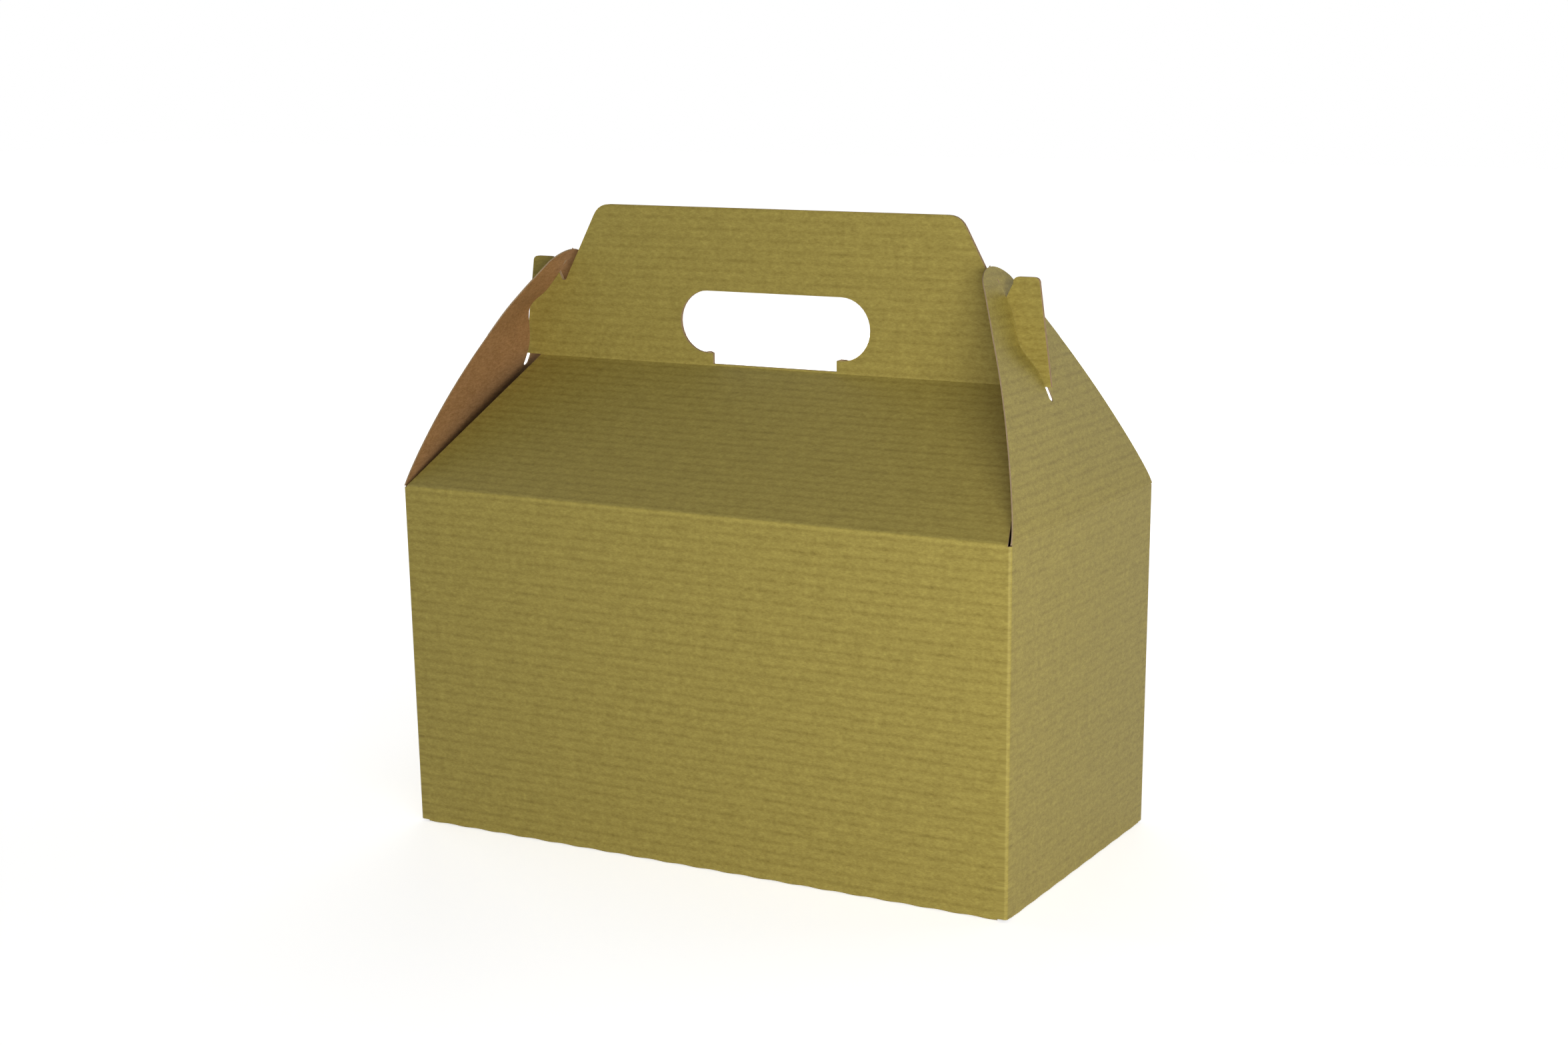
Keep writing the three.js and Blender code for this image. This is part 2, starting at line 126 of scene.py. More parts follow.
class Sheet:
    """The sheet of board, as grids of points on its outer face.
    Every point has a place on the flat sheet, a rib strength, and how much paler its crease is
    drawn: partly worn liner, partly painted highlight."""

    joined = 0.02 * MM
    sharp = math.radians(35)

    def __init__(self):
        self.points = []
        self.flat = []
        self.ribs = []
        self.wear_and_highlight = []
        self.quads = []
        self.count = 0

    def add(self, points, across, along, outward, ribs=1.0, wear_and_highlight=0.0):
        """Takes points[row, column] = (x, y, z), with across and along as the point's
        place on the flat sheet. A quad joins the points (i, j), (i, j + 1),
        (i + 1, j + 1) and (i + 1, j), turned so that its normal looks outward."""
        rows, columns = points.shape[:2]
        i, j = np.meshgrid(np.arange(rows - 1), np.arange(columns - 1), indexing="ij")
        first = (i * columns + j).ravel()
        quads = np.stack([first, first + 1, first + columns + 1, first + columns], axis=1)
        corner = points.reshape(-1, 3)[quads]
        normal = np.cross(corner[:, 2] - corner[:, 0], corner[:, 3] - corner[:, 1])
        facing = np.broadcast_to(outward, points.shape).reshape(-1, 3)[quads[:, 0]]
        if (normal * facing).sum() < 0:
            quads = quads[:, ::-1]
        shape = (rows, columns)
        place = [np.broadcast_to(value, shape) for value in (across, along)]
        self.points.append(points.reshape(-1, 3))
        self.flat.append(np.stack(place, axis=-1).reshape(-1, 2))
        self.ribs.append(np.broadcast_to(ribs, shape).ravel())
        self.wear_and_highlight.append(np.broadcast_to(wear_and_highlight, shape).ravel())
        self.quads.append(quads + self.count)
        self.count += rows * columns

    def piece(self, name, board, materials):
        """Joins the grids where they meet, gives the board its thickness on the inner
        side, and returns the object. The slots are outer face, inner face and cut edge."""
        points = np.concatenate(self.points)
        quads = np.concatenate(self.quads)
        flat = np.concatenate(self.flat)
        mesh = bpy.data.meshes.new(name)
        mesh.from_pydata(points, [], quads.tolist())
        sheet_map = mesh.uv_layers.new(name="sheet")
        corners = np.zeros(len(mesh.loops), np.int32)
        mesh.loops.foreach_get("vertex_index", corners)
        sheet_map.data.foreach_set("uv", flat[corners].astype(np.float32).ravel())
        # the crease paleness is partly worn liner and partly painted highlight
        for label, values in (("ribs", self.ribs), ("wear_and_highlight", self.wear_and_highlight)):
            attribute = mesh.attributes.new(label, "FLOAT", "POINT")
            attribute.data.foreach_set("value", np.concatenate(values).astype(np.float32))
        work = bmesh.new()
        work.from_mesh(mesh)
        bmesh.ops.remove_doubles(work, verts=work.verts, dist=self.joined)
        bmesh.ops.dissolve_degenerate(work, edges=work.edges, dist=self.joined / 4)
        work.to_mesh(mesh)
        work.free()
        piece = bpy.data.objects.new(name, mesh)
        bpy.context.scene.collection.objects.link(piece)
        for material in materials:
            mesh.materials.append(material)
        wall = piece.modifiers.new("board", "SOLIDIFY")
        wall.thickness = board
        wall.offset = -1
        wall.use_quality_normals = True
        wall.material_offset = 1
        wall.material_offset_rim = 2
        graph = bpy.context.evaluated_depsgraph_get()
        solid = bpy.data.meshes.new_from_object(
            piece.evaluated_get(graph), preserve_all_data_layers=True, depsgraph=graph)
        piece.modifiers.clear()
        piece.data = solid
        solid.name = name
        solid.polygons.foreach_set("use_smooth", np.ones(len(solid.polygons), bool))
        solid.set_sharp_from_angle(angle=self.sharp)
        return piece


def blend_to(a, b, share):
    """a where share is 0, b where it is 1, and in a straight line between."""
    return a + (b - a) * share


def hump(distance, width):
    """A bell curve, 1 at distance 0: exp(-(distance / width) squared)."""
    return np.exp(-(distance / width) ** 2)


def walk(headings, steps, start):
    """A path drawn by a pen: each step moves it along its heading, by (sin, cos) times
    the step's length. Returns the start and the point after each step."""
    headings, steps = np.asarray(headings), np.asarray(steps)
    moves = np.stack([np.sin(headings) * steps, np.cos(headings) * steps], axis=1)
    return np.vstack([start, start + np.cumsum(moves, axis=0)])


def fold(heading, turn, radius):
    """Headings and steps of a crease: the heading turns evenly along an arc, and each
    step is the chord of its share of the turn."""
    headings = heading + turn * (np.arange(FOLD_STEPS) + 0.5) / FOLD_STEPS
    return headings, np.full(FOLD_STEPS, 2 * radius * math.sin(abs(turn) / FOLD_STEPS / 2))


def crosswise(left, right, share):
    """Rows of x from left to right, at shares from -1 to 1 of the crease."""
    left, right = np.atleast_1d(left)[:, None], np.atleast_1d(right)[:, None]
    return left + (right - left) * (share[None, :] + 1) / 2


def even_columns(breaks, spacing):
    """Shares from 0 to 1 that hold every break, with even steps between two breaks."""
    parts = [
        np.linspace(a, b, max(2, int(math.ceil((b - a) / spacing)) + 1))[:-1]
        for a, b in zip(breaks, breaks[1:])
    ]
    half = np.concatenate(parts + [[breaks[-1]]])
    return np.concatenate([-half[:0:-1], half])


class Blank:
    """Sizes of the sheet that aren't among the settings, and those that follow from them."""

    # creases, corners and the bow that the walls and the roof have from handling
    fold_radius = 0.8 * MM
    corner_radius = 1.1 * MM
    wall_bow = 0.4 * MM
    roof_sag = 0.35 * MM
    scallop = 12.5 * MM
    scallop_lift = 0.3 * MM
    # glue tab, and the lap of the rear wall over it
    lap = 0.8 * MM
    tab = 16 * MM
    tab_bevel = 6 * MM
    # bottom flaps: each layer lies a step above the one under it
    layer = 0.8 * MM
    mitre = 9 * MM
    ramp = 9 * MM
    lock_flap = 61 * MM
    tongue = 38 * MM
    tongue_tip = 32 * MM
    tongue_climb = 13 * MM
    tongue_length = 30 * MM
    dust_flap = 64 * MM
    dust_taper = 7 * MM
    rear_flap = 72 * MM
    recess = 42 * MM
    recess_gap = 4 * MM
    # handle: the hole's drop to the ridge, the ear with its finger, and the notch beside it
    drop_half = 25.3 * MM
    drop_floor = 0.5 * MM
    drop_step = 2.4 * MM
    hole_floor = 4.4 * MM
    ear_reach = 6.7 * MM
    ear_lean = 4.5 * MM
    finger_height = 37 * MM
    finger_width = 9.8 * MM
    finger_round = 2.3 * MM
    notch_floor = 28 * MM
    notch_width = 2.4 * MM
    notch_lean = 2.6 * MM
    handle_round = 4.8 * MM
    # gable flaps: the slot reaches from below the ear's foot to past its finger
    cad_bow = 245 * MM
    flap_root = 0.02 * MM
    flap_inset = 0.4 * MM
    flap_tip = 15.5 * MM
    slot_half = 1.3 * MM
    slot_below = 5 * MM
    slot_past = 0.8 * MM
    slot_to_tip = 4.8 * MM

    def __init__(self, sizes):
        self.sizes = sizes
        self.half_x = sizes.width / 2
        self.half_y = sizes.depth / 2
        self.slope = math.atan2(sizes.rise, self.half_y)
        self.turn = math.pi / 2 - self.slope
        self.foot = self.fold_radius
        self.top = sizes.wall - self.fold_radius * math.tan(self.turn / 2)
        self.handle_face = sizes.board + 0.15 * MM
        self.ridge = sizes.ridge / 2
        self.ear_foot = self.ridge + self.ear_reach
        self.finger_outer = self.ear_foot - self.ear_lean
        self.finger_inner = self.finger_outer - self.finger_width
        self.notch_outer = self.finger_inner - self.notch_lean
        self.notch_inner = self.notch_outer - self.notch_width
        crease = self.crease_x(self.foot) - self.mitre
        self.notch_columns = np.linspace(0, 1, 7)
        notch = blend_to(self.notch_inner, self.notch_outer, self.notch_columns)
        breaks = [
            0, self.drop_half / self.ridge, self.tongue / crease, self.recess / crease,
            *(notch / self.ridge), 1,
        ]
        self.columns = even_columns(breaks, 0.0125)
        self.side_columns = even_columns([0, 1], 0.025)
        foot = math.hypot(self.half_x - self.ear_foot, sizes.rise)
        finger = math.hypot(self.half_x - self.finger_inner, sizes.rise + self.finger_height)
        self.slot_low = self.on_bow(foot - self.slot_below)
        self.slot_high = self.on_bow(finger + self.slot_past)
        self.flap_reach = self.slot_high + self.slot_to_tip

    def on_bow(self, chord):
        """Length along the CAD flap's bow of a chord: 2 bow asin(chord / (2 bow))."""
        return 2 * self.cad_bow * math.asin(chord / (2 * self.cad_bow))

    def lean(self, z):
        return self.sizes.draft * (1 - z / self.sizes.wall)

    def relief(self, z):
        return self.corner_radius + (0.3 if z > self.sizes.wall / 2 else 2.5) * MM

    def crease_x(self, z):
        return self.half_x - self.lean(z) - self.relief(z)

    def crease_y(self, z):
        return self.half_y - self.lean(z) - self.relief(z)

    def rear_left(self, z):
        return self.lap - self.crease_x(z)

    def across_rear(self, x):
        """Place on the flat sheet of a point of the rear panels, past the right wall."""
        return 2 * self.half_x + 2 * self.half_y - x


def girth(blank, z):
    """The carton's outline in plan at a height: straight panels joined by quarter circles,
    from the rear wall's glued end round to the left wall's free end. Returns the points,
    their outward directions and how much of the wall's bow each one has."""
    face_x = blank.half_x - blank.lean(z)
    face_y = blank.half_y - blank.lean(z)
    stop_x, stop_y = blank.crease_x(z), blank.crease_y(z)
    centre = np.array([face_x, face_y]) - blank.corner_radius

    def panel(start, end, normal, share):
        points = np.asarray(start) + (np.asarray(end) - start) * ((share[:, None] + 1) / 2)
        return points, np.tile(normal, (len(share), 1)), 1 - share ** 2

    def corner(cx, cy, start):
        turn = start - np.linspace(0, 1, 6)[:, None] * math.pi / 2
        normal = np.hstack([np.cos(turn), np.sin(turn)])
        return np.array([cx, cy]) + blank.corner_radius * normal, normal, np.zeros(6)

    tab_corner = corner(-centre[0] + blank.lap, centre[1], math.pi)
    free_end = (
        np.array([[-face_x, centre[1]]]), np.array([[-1.0, 0.0]]), np.zeros(1)
    )
    parts = [
        tab_corner,
        panel([blank.lap - stop_x, face_y], [stop_x, face_y], [0, 1],
              blank.columns),
        corner(centre[0], centre[1], math.pi / 2),
        panel([face_x, stop_y], [face_x, -stop_y], [1, 0], blank.side_columns),
        corner(centre[0], -centre[1], 0),
        panel([stop_x, -face_y], [-stop_x, -face_y], [0, -1], blank.columns),
        corner(-centre[0], -centre[1], -math.pi / 2),
        panel([-face_x, -stop_y], [-face_x, stop_y], [-1, 0],
              blank.side_columns),
        free_end,
    ]
    points, normals, bow = (np.concatenate([part[i] for part in parts]) for i in range(3))
    return points, normals, bow


def wall_rows(blank):
    """Shares of the wall's height, close together at the creases."""
    height = blank.top - blank.foot
    near = np.array([0, 0.5, 1.2, 2.5, 5]) * MM / height
    return np.concatenate([near, np.linspace(0.08, 0.92, 13), 1 - near[::-1]])


def add_walls(sheet, blank):
    """Walls: straight lines from the outline at the foot to the outline at the top, bowed
    outwards by the bow times sin(pi v), v being the share of the height."""
    low, normals, bow = girth(blank, blank.foot)
    high = girth(blank, blank.top)[0]
    v = wall_rows(blank)[:, None]
    flat = blend_to(low[None], high[None], v[..., None])
    flat = flat + normals[None] * (blank.wall_bow * bow[None] * np.sin(math.pi * v))[..., None]
    z = np.broadcast_to(blend_to(blank.foot, blank.top, v), flat.shape[:2])
    points = np.concatenate([flat, z[..., None]], axis=2)
    steps = np.linalg.norm(np.diff(high, axis=0), axis=1)
    distance = np.concatenate([[0], np.cumsum(steps)])
    from_front = np.abs(high[:, 0]) + (normals[:, 1] > -0.99) * 1.0
    across = distance[np.argmin(from_front)] - distance
    turning = np.abs(normals).min(axis=1) > 0.01
    side = np.abs(normals[:, 0]) > 0.5
    outward = points * np.array([1.0, 1.0, 0.0])
    to_crease = (1 - v) * (blank.top - blank.foot)
    # Paler vertical corners and a pale band under the shoulder crease of the front and rear
    # walls: partly worn liner, partly painted highlight.
    wear_and_highlight = np.maximum(turning[None] * 0.8, hump(to_crease, 0.8 * MM) * ~side[None])
    sheet.add(points, across[None], z, outward, np.where(side, 0.6, 1.0)[None], wear_and_highlight)
    add_glue_tab(sheet, blank, low[0], high[0], v)


def add_glue_tab(sheet, blank, low, high, v):
    """The tab inside the left wall, from the rear corner's edge. Its top and bottom draw in
    by the bevel times 1 - share, share being 0 at its free end."""
    share = np.linspace(0, 1, 4)[None, :]
    x = blend_to(low[0], high[0], v) + 0 * share
    y = blend_to(blank.half_y - blank.tab, blend_to(low[1], high[1], v), share)
    z = blend_to(blank.foot, blank.top, v) + blank.tab_bevel * (1 - share) * (1 - 2 * v)
    sheet.add(np.stack([x, y, z], axis=2), share * blank.tab, z, np.array([-1.0, 0, 0]), 0.45)


def scallops(blank, place):
    """Lift of the foot's crease: it was cut and creased by turns, so it waves along its
    length as lift times (1 - cos(2 pi x / pitch)) / 2."""
    return blank.scallop_lift * (1 - np.cos(2 * math.pi * place / blank.scallop)) / 2


def foot_profile(blank, layer):
    """Profile of a wall's foot: a quarter turn on the fold radius, then a shallow climb to
    the flap's layer. Returns distance in, height and the share of the scallops' lift."""
    headings, steps = fold(0, math.pi / 2, blank.fold_radius)
    arc = walk(headings, steps, np.zeros(2))
    rise = layer * blank.layer
    run = np.array([0.15, 0.4, 0.7, 1.0])
    climb = np.stack([arc[-1, 0] + run * blank.ramp, arc[-1, 1] - run * rise], axis=1)
    profile = np.vstack([arc, climb])
    turned = np.clip(np.arange(len(arc)) / (len(arc) // 2), 0, 1)
    lift = np.concatenate([turned ** 2, 1 - run])
    return profile[:, 0], blank.foot - profile[:, 1], lift


def under_flap(sheet, blank, place, crease, layer, columns, reach, end_cuts, ribs=1.0):
    """A bottom flap, from the wall's foot to its reach. Between the foot's crease and the
    end of its climb its sides are mitred, and then they run to the end cuts."""
    inward, height, lift = foot_profile(blank, layer)
    mitre = np.clip((inward - inward[FOLD_STEPS]) / blank.ramp, 0, 1) * blank.mitre
    far = np.linspace(inward[-1], reach, 6)[1:]
    level = np.full(5, height[-1])
    start, end = crease[0] + blank.mitre, crease[1] - blank.mitre
    share = (far - inward[-1]) / (reach - inward[-1])
    left = np.concatenate([crease[0] + mitre, blend_to(start, end_cuts[0], share)])
    right = np.concatenate([crease[1] - mitre, blend_to(end, end_cuts[1], share)])
    cross = crosswise(left, right, columns)
    inward = np.concatenate([inward, far])[:, None] + 0 * cross
    lift = np.concatenate([lift, np.zeros(5)])[:, None]
    height = np.concatenate([height, level])[:, None] + lift * scallops(blank, cross)
    # Paler foot crease: partly worn liner, partly painted highlight.
    wear_and_highlight = 0.6 * (np.arange(len(inward)) <= FOLD_STEPS)[:, None]
    sheet.add(place(cross, inward, height), cross, -inward, DOWN, ribs, wear_and_highlight)
    return cross[-1], inward[-1, 0], height[-1, 0]


def add_bottom(sheet, blank):
    """The bottom: a lock flap with a tongue, two dust flaps over it and a rear flap with a
    recess, which the tongue comes up through."""
    foot_x = blank.half_x - blank.lean(blank.foot)
    foot_y = blank.half_y - blank.lean(blank.foot)
    crease = blank.crease_x(blank.foot)
    straight = crease - blank.mitre

    def front(x, inward, z):
        return np.stack([x, inward - foot_y, z], axis=2)

    def rear(x, inward, z):
        return np.stack([x, foot_y - inward, z], axis=2)

    cross, reach, _ = under_flap(
        sheet, blank, front, (-crease, crease), 0, blank.columns, blank.lock_flap,
        (-straight, straight))
    on_tongue = np.abs(blank.columns) < blank.tongue / straight + 1e-6
    climb = np.linspace(0, 1, 5)
    beyond = blank.tongue_length * np.array([0.8, 1.0])
    inward = reach + np.concatenate([blank.tongue_climb * climb, beyond])[:, None]
    height = 3 * blank.layer * np.concatenate([climb, np.ones(2)])[:, None]
    narrowing = np.array([1.0] * 6 + [blank.tongue_tip / blank.tongue])[:, None]
    x = narrowing * cross[on_tongue][None]
    sheet.add(front(x, inward + 0 * x, height + 0 * x), x, -inward, DOWN)

    end = blank.crease_y(blank.foot)
    taper = end - blank.mitre - blank.dust_taper
    for sign in (-1, 1):
        def side(y, inward, z, sign=sign):
            return np.stack([sign * (foot_x - inward), y, z], axis=2)

        under_flap(sheet, blank, side, (-end, end), 1, blank.side_columns, blank.dust_flap,
                   (-taper, taper), 0.45)

    left = blank.rear_left(blank.foot)
    deep = blank.sizes.depth - blank.lock_flap - blank.tongue_climb - blank.recess_gap
    cross, reach, level = under_flap(
        sheet, blank, rear, (left, crease), 2, blank.columns, deep,
        (left + blank.mitre, straight))
    inside = blank.recess - 1 * MM
    inward = np.linspace(reach, blank.rear_flap, 4)[:, None]
    for wing in (cross < -inside, cross > inside):
        x = cross[wing][None] + 0 * inward
        sheet.add(rear(x, inward + 0 * x, level + 0 * x), x, -inward, DOWN)


def add_roof(sheet, blank, sign):
    """Roof panel of the front (sign -1) or rear (sign 1) wall. Its profile turns in at the
    shoulder crease, climbs the slope and turns up again at the ridge crease. It sags by
    sag times sin(pi climbed) (1 - column squared). Returns the height of the ridge line
    and its place on the flat sheet."""
    wall_y = blank.half_y - blank.lean(blank.top)
    shoulder = fold(0, blank.turn, blank.fold_radius)
    ridge = fold(blank.turn, -blank.turn, blank.fold_radius - blank.sizes.board)
    in_folds = sum((np.sin(heading) * step).sum() for heading, step in (shoulder, ridge))
    slope_length = (wall_y - blank.handle_face - in_folds) / math.sin(blank.turn)
    share = np.array([
        0.006, 0.014, 0.03, 0.07, 0.15, 0.27, 0.4, 0.53, 0.66, 0.79, 0.9, 0.96, 0.985, 1.0])
    headings = np.concatenate([shoulder[0], np.full(len(share), blank.turn), ridge[0]])
    lengths = np.concatenate([shoulder[1], slope_length * np.diff(share, prepend=0), ridge[1]])
    path = walk(headings, lengths, np.array([0.0, blank.top]))
    travelled = np.concatenate([[0], np.cumsum(lengths)])
    climbed = np.concatenate([np.zeros(FOLD_STEPS + 1), share, np.ones(FOLD_STEPS)])
    left = -blank.crease_x(blank.top) if sign < 0 else blank.rear_left(blank.top)
    right = blank.crease_x(blank.top)
    x = crosswise(blend_to(left, -blank.ridge, climbed), blend_to(right, blank.ridge, climbed),
                  blank.columns)
    sag = blank.roof_sag * np.sin(math.pi * climbed)[:, None] * (1 - blank.columns ** 2)[None]
    y = sign * (wall_y - path[:, :1]) + 0 * x - sign * sag * math.cos(blank.turn)
    z = path[:, 1:] + 0 * x - sag * math.sin(blank.turn)
    past_shoulder = np.maximum(travelled - shoulder[1].sum(), 0)
    in_ridge = np.arange(len(climbed)) >= len(climbed) - FOLD_STEPS
    # Pale band just past the shoulder crease and a paler ridge crease: partly worn liner, partly
    # painted highlight.
    wear_and_highlight = np.maximum(0.7 * hump(past_shoulder, 0.6 * MM), 0.35 * in_ridge)
    across = x if sign < 0 else blank.across_rear(x)
    along = blank.top + travelled[:, None]
    sheet.add(np.stack([x, y, z], axis=2), across, along, np.array([0, sign * 1.0, 0.7]),
              1.0, wear_and_highlight[:, None])
    return path[-1, 1], blank.top + travelled[-1]


def round_corner(start, corner, end, count=6):
    """A rounded corner: the curve (1-t)^2 start + 2t(1-t) corner + t^2 end."""
    t = np.linspace(0, 1, count)[:, None]
    return (1 - t) ** 2 * start + 2 * t * (1 - t) * corner + t ** 2 * end


def ruled(left, right, share):
    """Straight rows from a left outline to a right one: left + share (right - left)."""
    return left[:, None] + share[None, :, None] * (right - left)[:, None]


def shares(values):
    return (values - values[0]) / (values[-1] - values[0])


def upright(x, heights):
    """An upright outline: one x at every height."""
    return np.stack([np.full(len(heights), x), heights], axis=1)


def hole_outline(blank):
    """Right half of the hand hole's outline: up the side of its drop to the ridge, then half
    a circle round its end. Returns it and the x of the circle's centre."""
    radius = blank.sizes.hole_height / 2
    centre = np.array([blank.sizes.hole_width / 2 - radius, blank.hole_floor + radius])
    turn = np.linspace(-math.pi / 2, math.pi / 2, 19)
    arc = centre + radius * np.stack([np.cos(turn), np.sin(turn)], axis=1)
    drop = np.array([0, blank.drop_floor, blank.drop_step, blank.hole_floor])
    return np.vstack([upright(blank.drop_half, drop), arc]), centre[0]


def notch_block(blank, levels):
    """The strip below the notch. Its top edge is at the notch's floor plus the depth times
    (1-t)^3 + t^3, and the columns there are at 3t^2(1-t) + t^3, which rounds the notch."""
    top = levels[-1]
    t = blank.notch_columns
    block = ruled(upright(blank.notch_inner, levels), upright(blank.notch_outer, levels), t)
    edge = blank.notch_floor + (top - blank.notch_floor) * ((1 - t) ** 3 + t ** 3)
    block[..., 1] *= (edge / top)[None]
    rounded = 3 * t ** 2 * (1 - t) + t ** 3
    depth = np.clip((levels / top - 0.8) / 0.2, 0, 1)[:, None]
    block[..., 0] = blend_to(blank.notch_inner, blank.notch_outer, blend_to(t, rounded, depth))
    return block


def ear_block(blank, levels, columns):
    """The ear with its finger. Both sides lean in at an even rate, and the two corners at
    the top are rounded."""
    height, radius, top = blank.finger_height, blank.finger_round, levels[-1]
    inner = np.array([blank.finger_inner, height])
    outer = np.array([blank.finger_outer, height])
    rise = np.linspace(top, height - radius, 5)[1:-1]
    inner_x = blend_to(blank.notch_outer, blank.finger_inner,
                       (rise - top) / (height - radius - top))
    left = np.vstack([
        upright(blank.notch_outer, levels), np.stack([inner_x, rise], axis=1),
        round_corner(inner - [0, radius], inner, inner + [radius, 0])])
    heights = np.concatenate([levels, rise])
    outer_x = blank.ear_foot - blank.ear_lean * heights / (height - radius)
    right = np.vstack([
        np.stack([outer_x, heights], axis=1),
        round_corner(outer - [0, radius], outer, outer - [radius, 0])])
    past_ridge = np.linspace(blank.ridge, blank.ear_foot, 5)[1:]
    ear_columns = np.concatenate([columns[columns >= blank.notch_outer - NEAR], past_ridge])
    return ruled(left, right, shares(ear_columns))


def upper_blocks(blank, levels, centre_x, beside_share):
    """The panel above the hole, out to its slanted side and rounded top corner: one block
    up to the centre of the hole's end, and one from there to the side."""
    top = np.array([blank.sizes.handle_top / 2, blank.sizes.handle])
    base = np.array([blank.notch_inner, blank.notch_floor])
    along = (top - base) / np.linalg.norm(top - base)
    start = top - along * blank.handle_round
    foot = np.array([blank.notch_inner, levels[-1]])
    rise = np.linspace(0, 1, 12)[1:-1, None]
    edge = np.vstack([
        upright(blank.notch_inner, levels[-3:]), foot + rise * (start - foot),
        round_corner(start, top, top - [blank.handle_round, 0])])
    from_centre = upright(centre_x, edge[:, 1])
    middle = ruled(upright(0, edge[:, 1]), from_centre, np.linspace(0, 1, 12))
    return [middle, ruled(from_centre, edge, beside_share)]


def handle_blocks(blank):
    """The right half of a handle panel, drawn flat with the ridge crease at height 0, as
    ruled blocks that meet at shared outlines: a strip under the hole's drop, the panel
    beside the hole, the strip below the notch, the ear, and the panel above the hole."""
    columns = blank.columns[blank.columns >= 0] * blank.ridge
    hole_edge, centre_x = hole_outline(blank)
    levels = hole_edge[:, 1].copy()
    levels[4] += 0.05 * MM  # sets the circle's first point apart from the drop's last
    notch_top = blank.notch_floor + 0.6 * blank.notch_width
    side_levels = np.concatenate([levels, [notch_top - blank.notch_width / 2, notch_top]])
    under_drop = shares(columns[columns <= blank.drop_half + NEAR])
    beside = shares(columns[(columns >= blank.drop_half - NEAR)
                            & (columns <= blank.notch_inner + NEAR)])
    return [
        ruled(upright(0, levels[:2]), upright(blank.drop_half, levels[:2]), under_drop),
        ruled(hole_edge, upright(blank.notch_inner, levels), beside),
        notch_block(blank, side_levels),
        ear_block(blank, side_levels, columns),
        *upper_blocks(blank, side_levels, centre_x, beside),
    ]


def add_handle(sheet, blank, sign, ridge_z, ridge_along):
    """Both halves of a handle panel, stood on the ridge line: a block's point (x, h) goes to
    (x, the panel's face, ridge + h), and to -x for the left half."""
    for block in handle_blocks(blank):
        for mirror in (-1, 1):
            x = mirror * block[..., 0]
            up = block[..., 1]
            y = np.full_like(x, sign * blank.handle_face)
            across = x if sign < 0 else blank.across_rear(x)
            # Paler strip along the ridge crease: partly worn liner, partly painted highlight.
            sheet.add(np.stack([x, y, ridge_z + up], axis=2), across, ridge_along + up,
                      np.array([0, sign * 1.0, 0]), 0.8, 0.35 * hump(up, 0.6 * MM))


def add_end_wall_top(sheet, blank, sign):
    """Top of an end wall above the corners, to the crease that its gable flap turns on."""
    y = blank.crease_y(blank.top) * blank.side_columns[None, :] * sign
    z = np.array([blank.top, blank.sizes.wall - blank.flap_root])[:, None]
    x = sign * (blank.half_x - blank.lean(z)) + 0 * y
    sheet.add(np.stack([x, y + 0 * z, z + 0 * y], axis=2), blank.half_x + blank.half_y + y, z,
              np.array([sign * 1.0, 0, 0]), 0.6)


def flap_profile(lean, bow, reach):
    """Inset and rise along a gable flap: its heading is lean + r / bow at distance r, less
    a softening at the crease that dies away in 5 mm. Both are sums of small steps along it."""
    r = np.linspace(0, reach, 600)
    heading = lean + r / bow - 0.75 * lean * np.exp(-r / (3.5 * MM))
    middle = (heading[1:] + heading[:-1]) / 2
    steps = np.diff(r)
    inset = np.concatenate([[0], np.cumsum(np.sin(middle) * steps)])
    rise = np.concatenate([[0], np.cumsum(np.cos(middle) * steps)])
    return r, inset, rise, heading


def flap_rows(blank):
    """Distances r from the crease that the flap has rows at, its half width there and its
    slot's. The sides run straight in to the tangent of a round tip. The slot is a strip
    with round ends, and narrows upwards."""
    low, high = blank.slot_low, blank.slot_high
    slot_half, tip_radius = blank.slot_half, blank.flap_tip
    root_half = blank.half_y - blank.flap_inset
    tip = blank.flap_reach - tip_radius
    edge = math.atan2(root_half, tip) - math.asin(tip_radius / math.hypot(root_half, tip))
    tangent = tip + tip_radius * math.sin(edge)
    ends = slot_half * np.sin(np.linspace(0, 1, 8) * math.pi / 2)
    tip_turn = blend_to(edge, math.pi / 2, np.linspace(0, 1, 22))
    r = np.unique(np.round(np.concatenate([
        blank.flap_root + np.array([0, 0.6, 1.5, 3, 5]) * MM,
        np.linspace(8 * MM, low - 2 * MM, 9), low + slot_half - ends,
        np.linspace(low + 3 * MM, high - 3 * MM, 22), high - slot_half + ends,
        tip + tip_radius * np.sin(tip_turn)]), 7))
    half = np.where(r < tangent, root_half - (r - blank.flap_root) * math.tan(edge),
                    np.sqrt(np.maximum(0, tip_radius ** 2 - (r - tip) ** 2)))
    half[-1] = 0.0
    past = np.maximum(np.maximum(low + slot_half - r, r - high + slot_half), 0)
    slot = np.sqrt(np.maximum(0, slot_half ** 2 - past ** 2))
    slot = slot * np.interp(r, [low, low + 12 * MM, high], [1.0, 0.9, 0.66])
    return r[:, None], half[:, None], slot[:, None]


def slot_share(blank, r):
    """How far up the slot r is, from 0 at its foot to 1 at its top."""
    return np.clip((r - blank.slot_low) / (blank.slot_high - blank.slot_low), 0, 1)


